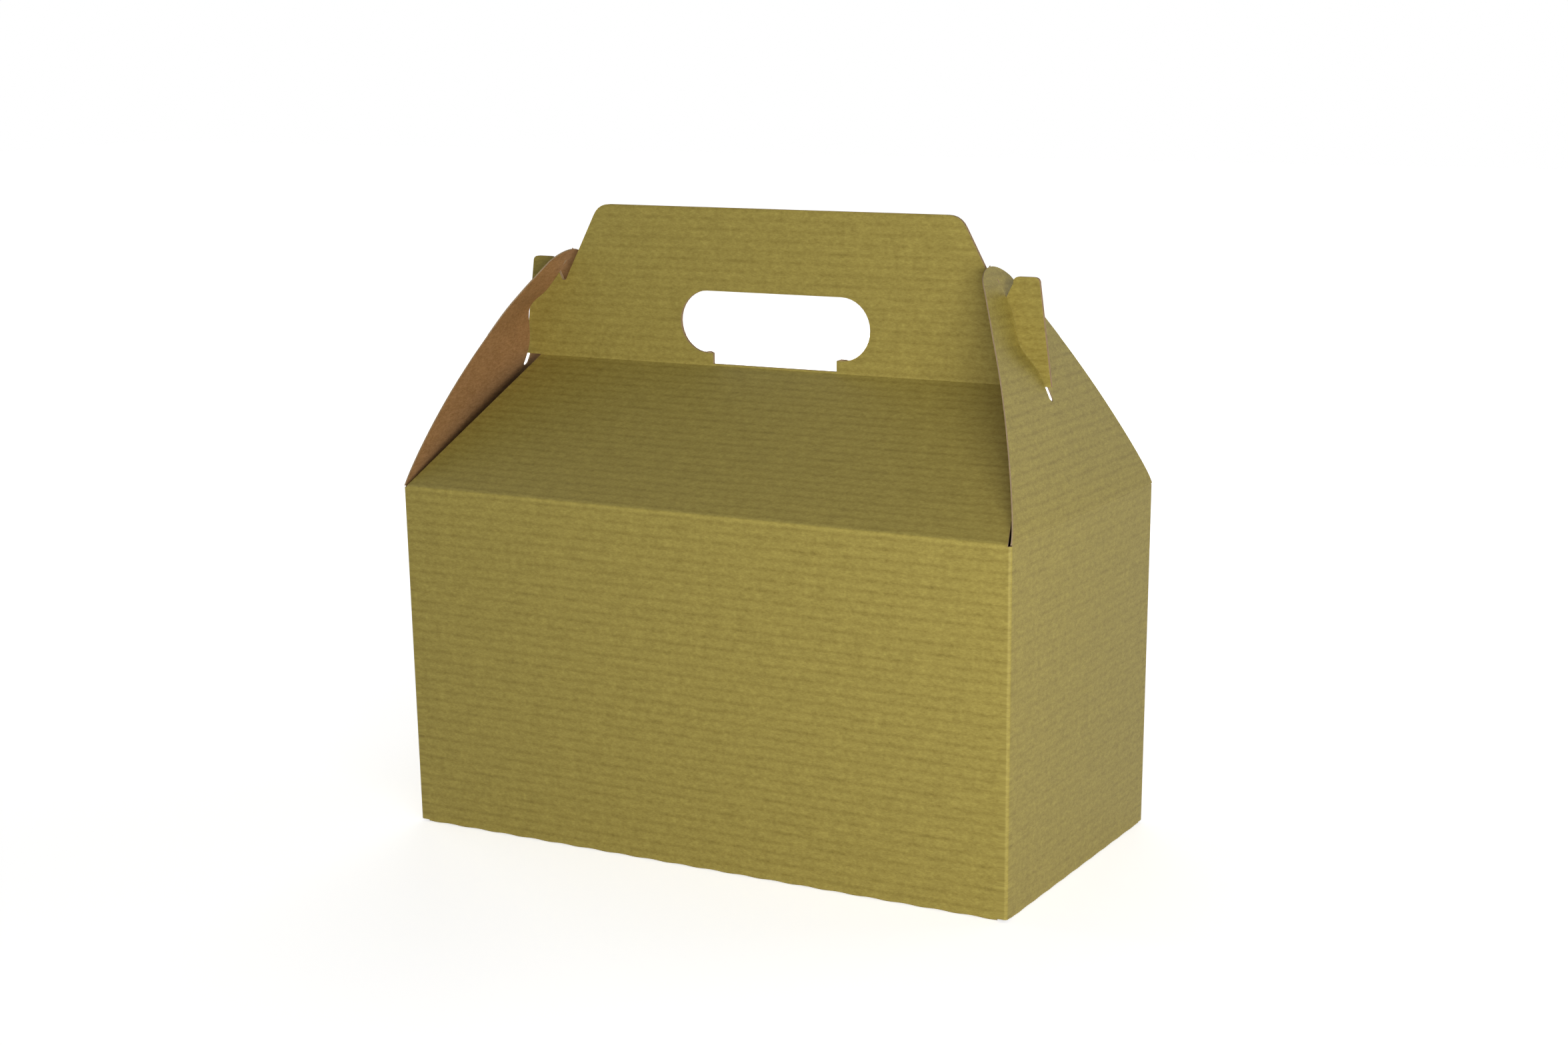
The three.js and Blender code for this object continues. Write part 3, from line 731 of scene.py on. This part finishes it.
def flap_bulge(blank, sign, side, r, y):
    """How far a flap stands out from its bow, as bell curves of r and y. The ear pushes one
    lip of the slot: in on the right flap, out on the left. The lips close at its top, the
    left flap is pressed in below its ear, and all but that dies away at the slot's ends."""
    push = -2.8 * MM if sign > 0 else 4.4 * MM
    swell = push * (side < 0) * hump(r - 61 * MM, 8 * MM)
    shut = -side * sign * 1.0 * MM * hump(r - blank.slot_high + 3 * MM, 4.5 * MM)
    near = np.sin(math.pi * slot_share(blank, r)) ** 0.5 * hump(y, 15 * MM)
    pressed = 1.9 * (sign < 0) * MM * hump(r - 43 * MM, 12 * MM)
    return (swell + shut) * near - pressed * hump(y, 17 * MM)


def add_gable_flap(sheet, blank, sign):
    """A gable flap: a tongue with straight sides that run into a round tip, and a slot down
    its middle. Each half's grid runs from the slot's edge to the flap's edge at every row,
    in steps that widen away from the slot, and is moved along the flap's normal by its bulge."""
    sizes = blank.sizes
    lean, bow = ((sizes.lean_left, sizes.bow_left) if sign < 0
                 else (sizes.lean_right, sizes.bow_right))
    r, half, slot = flap_rows(blank)
    table, *curves = flap_profile(lean, bow, blank.flap_reach)
    inset, rise, heading = (np.interp(r, table, curve) for curve in curves)
    power = np.interp(r, [blank.slot_high, blank.flap_reach], [1.5, 1.0])
    share = np.linspace(0, 1, 26)[None, :] ** power
    up_slot = slot_share(blank, r)
    for side in (-1, 1):
        y = side * blend_to(slot, half, share)
        bulge = flap_bulge(blank, sign, side, r, y)
        x = sign * (blank.half_x - inset + bulge * np.cos(heading))
        z = sizes.wall + rise + bulge * np.sin(heading)
        # Paler lips along the slot: partly rubbed liner, partly painted highlight.
        lip = 0.5 * (up_slot > 0) * (up_slot < 1) * hump(np.abs(y) - slot, 0.5 * MM)
        sheet.add(np.stack([x, y, z], axis=2), blank.half_x + blank.half_y + sign * y,
                  sizes.wall + r, np.array([sign * 1.0, 0, 0.5]), 0.9, lip)


def per(*sizes):
    """Pattern scale from the real sizes of its marks, in millimetres: marks per metre, along
    the girth and up the sheet where there are two sizes."""
    scales = tuple(1 / (size * MM) for size in sizes)
    return scales[0] if len(scales) == 1 else (*scales, 1.0)


def add_node(tree, kind, links=(), **settings):
    """Adds a node with its settings. Each link or value is given as (socket, source)."""
    node = tree.nodes.new(kind)
    for name, value in settings.items():
        setattr(node, name, value)
    for socket, source in links:
        if isinstance(source, bpy.types.NodeSocket):
            tree.links.new(source, node.inputs[socket])
        else:
            node.inputs[socket].default_value = source
    return node


def new_material(name):
    material = bpy.data.materials.new(name)
    material.use_nodes = True
    material.node_tree.nodes.clear()
    return material, material.node_tree


def fibre_colour(tree, place, light, dark, ribs=None, wear_and_highlight=None):
    """Colour and height of a kraft surface: fibres about 1.1 x 0.45 mm, tufts of 2.4 x 1.25 mm
    and clouds of pulp of 6 mm, less the dark rib lines and more the pale creases, partly worn
    liner and partly painted highlight, where they are given. The fibres are drawn coarser than
    real ones, so that they show."""
    stretched = add_node(tree, "ShaderNodeMapping", [
        ("Vector", place), ("Scale", per(1.11, 0.45))])
    fibres = add_node(tree, "ShaderNodeTexNoise", [
        ("Vector", stretched.outputs[0]), ("Scale", 1.0), ("Detail", 3.0), ("Roughness", 0.62)])
    clouds = add_node(tree, "ShaderNodeTexNoise", [
        ("Vector", place), ("Scale", per(6.25)), ("Detail", 4.0), ("Roughness", 0.6)])
    broad = add_node(tree, "ShaderNodeMapping", [
        ("Vector", place), ("Scale", per(2.4, 1.25))])
    tufts = add_node(tree, "ShaderNodeTexNoise", [
        ("Vector", broad.outputs[0]), ("Scale", 1.0), ("Detail", 2.0), ("Roughness", 0.5)])
    fine = add_node(tree, "ShaderNodeMath", [
        (0, fibres.outputs["Fac"]), (1, 0.7), (2, -0.3)], operation="MULTIPLY_ADD")
    both = add_node(tree, "ShaderNodeMath", [
        (0, tufts.outputs["Fac"]), (1, 0.55), (2, fine.outputs[0])], operation="MULTIPLY_ADD")
    grain = add_node(tree, "ShaderNodeMath", [
        (0, clouds.outputs["Fac"]), (1, 0.35), (2, both.outputs[0])], operation="MULTIPLY_ADD")
    share = grain.outputs[0]
    if ribs is not None:
        share = add_node(tree, "ShaderNodeMath", [(0, share), (1, ribs)],
                         operation="SUBTRACT").outputs[0]
    # lightens the creases: partly worn liner, partly painted highlight
    if wear_and_highlight is not None:
        share = add_node(tree, "ShaderNodeMath", [(0, wear_and_highlight), (1, 0.17), (2, share)],
                         operation="MULTIPLY_ADD").outputs[0]
    ramp = add_node(tree, "ShaderNodeValToRGB", [("Fac", share)])
    ramp.color_ramp.elements[0].position = 0.05
    ramp.color_ramp.elements[0].color = (*dark, 1)
    ramp.color_ramp.elements[1].position = 0.95
    bright = tuple(min(1.0, 2 * a - b) for a, b in zip(light, dark))
    ramp.color_ramp.elements[1].color = (*bright, 1)
    return ramp.outputs["Color"], share


def ribbed_kraft_liner(finish):
    """Kraft liner, machine made and pressed over the ribs of the board behind it. That gives
    the eye fine level lines 3.7 mm apart over a mottled matt olive brown. A line is the cube
    of a raised cosine, wanders a little, and is pressed unevenly along its length."""
    material, tree = new_material("ribbed_kraft_liner")
    place = add_node(tree, "ShaderNodeUVMap", uv_map="sheet").outputs[0]
    parts = add_node(tree, "ShaderNodeSeparateXYZ", [("Vector", place)])
    wander = add_node(tree, "ShaderNodeTexNoise", [
        ("Vector", place), ("Scale", per(22)), ("Detail", 1.0)])
    phase = add_node(tree, "ShaderNodeMath", [
        (0, parts.outputs[1]), (1, 2 * math.pi * per(RIB_PITCH)), (2, wander.outputs["Fac"])],
        operation="MULTIPLY_ADD")
    wave = add_node(tree, "ShaderNodeMath", [(0, phase.outputs[0])], operation="COSINE")
    lifted = add_node(tree, "ShaderNodeMath", [(0, wave.outputs[0]), (1, 0.5), (2, 0.5)],
                      operation="MULTIPLY_ADD")
    line = add_node(tree, "ShaderNodeMath", [(0, lifted.outputs[0]), (1, 3.0)],
                    operation="POWER")
    strength = add_node(tree, "ShaderNodeAttribute", attribute_name="ribs")
    ribs = add_node(tree, "ShaderNodeMath", [(0, line.outputs[0]), (1, strength.outputs["Fac"])],
                    operation="MULTIPLY")
    stretches = add_node(tree, "ShaderNodeMapping", [
        ("Vector", place), ("Scale", per(16.7, RIB_PITCH))])
    broken = add_node(tree, "ShaderNodeTexNoise", [
        ("Vector", stretches.outputs[0]), ("Scale", 1.0), ("Detail", 2.0)])
    press = add_node(tree, "ShaderNodeMath", [
        (0, broken.outputs["Fac"]), (1, 0.36), (2, -0.05)], operation="MULTIPLY_ADD")
    rib_tint = add_node(tree, "ShaderNodeMath", [(0, ribs.outputs[0]), (1, press.outputs[0])],
                        operation="MULTIPLY")
    # crease paleness: partly worn liner, partly painted highlight
    wear_and_highlight = add_node(tree, "ShaderNodeAttribute", attribute_name="wear_and_highlight")
    tint, grain = fibre_colour(tree, place, finish.liner, finish.liner_dark,
                               rib_tint.outputs[0], wear_and_highlight.outputs["Fac"])
    bump = add_node(tree, "ShaderNodeBump", [
        ("Height", grain), ("Strength", 0.35), ("Distance", 0.06 * MM)])
    shader = add_node(tree, "ShaderNodeBsdfPrincipled", [
        ("Base Color", tint), ("Roughness", 0.55), ("IOR", 1.5),
        ("Specular IOR Level", 0.34), ("Normal", bump.outputs[0])])
    add_node(tree, "ShaderNodeOutputMaterial", [("Surface", shader.outputs[0])])
    return material


def plain_kraft_liner(finish):
    """The board's inner liner, unpressed and unglazed. That gives the eye a warmer, plain
    brown with a soft fibre, and no lines."""
    material, tree = new_material("plain_kraft_liner")
    place = add_node(tree, "ShaderNodeUVMap", uv_map="sheet").outputs[0]
    tint, grain = fibre_colour(tree, place, finish.inner, finish.inner_dark)
    bump = add_node(tree, "ShaderNodeBump", [
        ("Height", grain), ("Strength", 0.4), ("Distance", 0.06 * MM)])
    shader = add_node(tree, "ShaderNodeBsdfPrincipled", [
        ("Base Color", tint), ("Roughness", 0.85), ("IOR", 1.45),
        ("Normal", bump.outputs[0])])
    add_node(tree, "ShaderNodeOutputMaterial", [("Surface", shader.outputs[0])])
    return material


def raw_cut_edge(finish):
    """Raw edge of the board where the die has cut it. That gives the eye a thin paler line
    of open fibre round every cut."""
    material, tree = new_material("raw_cut_edge")
    place = add_node(tree, "ShaderNodeTexCoord").outputs["Object"]
    dark = tuple(0.72 * c for c in finish.edge)
    tint, grain = fibre_colour(tree, place, finish.edge, dark)
    bump = add_node(tree, "ShaderNodeBump", [
        ("Height", grain), ("Strength", 0.5), ("Distance", 0.05 * MM)])
    shader = add_node(tree, "ShaderNodeBsdfPrincipled", [
        ("Base Color", tint), ("Roughness", 0.95), ("IOR", 1.45),
        ("Normal", bump.outputs[0])])
    add_node(tree, "ShaderNodeOutputMaterial", [("Surface", shader.outputs[0])])
    return material


def board_materials(finish):
    """The three finishes of the board, made once and shared by its pieces."""
    makers = (ribbed_kraft_liner, plain_kraft_liner, raw_cut_edge)
    return [bpy.data.materials.get(maker.__name__) or maker(finish) for maker in makers]


def seen_directly(tree):
    """1 for rays from the camera, and for what gloss and clear material show of it."""
    path = add_node(tree, "ShaderNodeLightPath").outputs
    gloss = add_node(tree, "ShaderNodeMath", [
        (0, path["Is Camera Ray"]), (1, path["Is Glossy Ray"])], operation="MAXIMUM")
    return add_node(tree, "ShaderNodeMath", [
        (0, gloss.outputs[0]), (1, path["Is Transmission Ray"])],
        operation="MAXIMUM").outputs[0]


def white_floor(finish):
    """Painted studio floor, rolled matt. It is white to the camera and keeps soft shadows.
    Its glow grows from 0.64 to 1 between 0.4 m and 1.2 m from the box, so that the shadow
    shows beside the box and no horizon shows behind it."""
    material, tree = new_material("white_studio_floor")
    place = add_node(tree, "ShaderNodeTexCoord").outputs["Object"]
    distance = add_node(tree, "ShaderNodeVectorMath", [(0, place)], operation="LENGTH")
    spread = add_node(tree, "ShaderNodeMapRange", [
        ("Value", distance.outputs["Value"]), ("From Min", 0.4), ("From Max", 1.2),
        ("To Min", 0.64), ("To Max", 1.0)])
    paint = add_node(tree, "ShaderNodeBsdfDiffuse", [("Color", (*finish.floor, 1))])
    glow = add_node(tree, "ShaderNodeEmission", [
        ("Color", (1, 1, 1, 1)), ("Strength", spread.outputs["Result"])])
    both = add_node(tree, "ShaderNodeAddShader", [(0, paint.outputs[0]), (1, glow.outputs[0])])
    floor = add_node(tree, "ShaderNodeMixShader", [
        (0, seen_directly(tree)), (1, paint.outputs[0]), (2, both.outputs[0])])
    add_node(tree, "ShaderNodeOutputMaterial", [("Surface", floor.outputs[0])])
    return material


def soft_box(name, place, size, power):
    """A rectangular area lamp that looks from its place at the middle of the box."""
    lamp = bpy.data.lights.new(name, "AREA")
    lamp.shape = "RECTANGLE"
    lamp.size, lamp.size_y = size
    lamp.energy = power
    light = bpy.data.objects.new(name, lamp)
    light.location = place
    facing = Vector(BOX_MIDDLE) - Vector(place)
    light.rotation_euler = facing.to_track_quat("-Z", "Y").to_euler()
    light.visible_camera = False
    bpy.context.scene.collection.objects.link(light)


class GABLEBOX_OT_stage(bpy.types.Operator):
    """Sets the floor, the soft light, the white background and the camera"""

    bl_idname = "gable_box.stage"
    bl_label = "Stage"

    def execute(self, context):
        scene = context.scene
        self.floor(scene, scene.gable_box_finish)
        self.world(scene)
        for settings in SOFT_BOXES:
            soft_box(*settings)
        self.camera(scene)
        scene.view_settings.view_transform = "Standard"
        return {"FINISHED"}

    def floor(self, scene, finish):
        """One flat surface, a little below the base."""
        place = np.linspace(-4, 4, 9)
        x, y = np.meshgrid(place, place, indexing="ij")
        points = np.stack([x, y, np.full_like(x, -0.1 * MM)], axis=2).reshape(-1, 3)
        i, j = np.meshgrid(np.arange(8), np.arange(8), indexing="ij")
        first = (i * 9 + j).ravel()
        mesh = bpy.data.meshes.new("studio_floor")
        quads = np.stack([first, first + 9, first + 10, first + 1], axis=1)
        mesh.from_pydata(points, [], quads.tolist())
        mesh.materials.append(white_floor(finish))
        floor = bpy.data.objects.new("studio_floor", mesh)
        scene.collection.objects.link(floor)

    def world(self, scene):
        """White where it is seen, and a soft even light on the box."""
        world = bpy.data.worlds.new("studio")
        world.use_nodes = True
        tree = world.node_tree
        tree.nodes.clear()
        seen, soft = (
            add_node(tree, "ShaderNodeBackground", [("Color", (1, 1, 1, 1)), ("Strength", level)])
            for level in (1.0, 0.13))
        both = add_node(tree, "ShaderNodeMixShader", [
            (0, seen_directly(tree)), (1, soft.outputs[0]), (2, seen.outputs[0])])
        add_node(tree, "ShaderNodeOutputWorld", [("Surface", both.outputs[0])])
        scene.world = world

    def camera(self, scene):
        """The photograph's angle: to the right of the front, a little above the ridge."""
        turn, lift, roll = math.radians(29.19), math.radians(11.26), math.radians(-0.59)
        back = Vector((math.sin(turn) * math.cos(lift), -math.cos(turn) * math.cos(lift),
                       math.sin(lift)))
        across = Vector((0, 0, 1)).cross(back).normalized()
        up = back.cross(across)
        right = math.cos(roll) * across + math.sin(roll) * up
        top = -math.sin(roll) * across + math.cos(roll) * up
        data = bpy.data.cameras.new("camera")
        data.sensor_fit = "HORIZONTAL"
        data.sensor_width = 36
        data.lens = 58.765
        camera = bpy.data.objects.new("camera", data)
        axes = Matrix((right, top, back)).transposed().to_4x4()
        camera.matrix_world = Matrix.Translation((0.4463, -0.7934, 0.2941)) @ axes
        scene.collection.objects.link(camera)
        scene.camera = camera


class GABLEBOX_OT_carton(bpy.types.Operator):
    """Folds the carton: walls, bottom, roof and handle with its ears"""

    bl_idname = "gable_box.carton"
    bl_label = "Folded carton"

    def execute(self, context):
        blank = Blank(context.scene.gable_box_sizes)
        sheet = Sheet()
        add_walls(sheet, blank)
        add_bottom(sheet, blank)
        for sign in (-1, 1):
            ridge_z, ridge_along = add_roof(sheet, blank, sign)
            add_handle(sheet, blank, sign, ridge_z, ridge_along)
            add_end_wall_top(sheet, blank, sign)
        materials = board_materials(context.scene.gable_box_finish)
        carton = sheet.piece("folded_carton", blank.sizes.board, materials)
        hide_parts("carton")
        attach(carton, "carton")
        return {"FINISHED"}


class GABLEBOX_OT_flaps(bpy.types.Operator):
    """Folds the two gable flaps, with the slots that the ears pass through"""

    bl_idname = "gable_box.flaps"
    bl_label = "Gable flaps"

    def execute(self, context):
        blank = Blank(context.scene.gable_box_sizes)
        materials = board_materials(context.scene.gable_box_finish)
        for sign, side in ((-1, "left"), (1, "right")):
            sheet = Sheet()
            add_gable_flap(sheet, blank, sign)
            flap = sheet.piece(f"{side}_gable_flap", blank.sizes.board, materials)
            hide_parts(f"gable_flap_{side}")
            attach(flap, f"flap_{side}")
        return {"FINISHED"}


class GABLEBOX_PT_panel(bpy.types.Panel):
    """Lists the sizes, the colours and the pieces"""

    bl_idname = "GABLEBOX_PT_panel"
    bl_label = "Gable box"
    bl_space_type = "VIEW_3D"
    bl_region_type = "UI"
    bl_category = "Gable box"

    def draw(self, context):
        for group in (context.scene.gable_box_sizes, context.scene.gable_box_finish):
            box = self.layout.box()
            for name in group.__annotations__:
                box.prop(group, name)
        for operator in (GABLEBOX_OT_stage, GABLEBOX_OT_carton, GABLEBOX_OT_flaps):
            self.layout.operator(operator.bl_idname)


CLASSES = (
    GableBoxSizes, GableBoxFinish, GABLEBOX_OT_stage, GABLEBOX_OT_carton, GABLEBOX_OT_flaps,
    GABLEBOX_PT_panel,
)


def register():
    for cls in CLASSES:
        bpy.utils.register_class(cls)
    bpy.types.Scene.gable_box_sizes = bpy.props.PointerProperty(type=GableBoxSizes)
    bpy.types.Scene.gable_box_finish = bpy.props.PointerProperty(type=GableBoxFinish)


def unregister():
    del bpy.types.Scene.gable_box_finish
    del bpy.types.Scene.gable_box_sizes
    for cls in reversed(CLASSES):
        bpy.utils.unregister_class(cls)


def main():
    register()
    bpy.ops.gable_box.stage()
    bpy.ops.gable_box.carton()
    bpy.ops.gable_box.flaps()


if __name__ == "__main__":
    main()
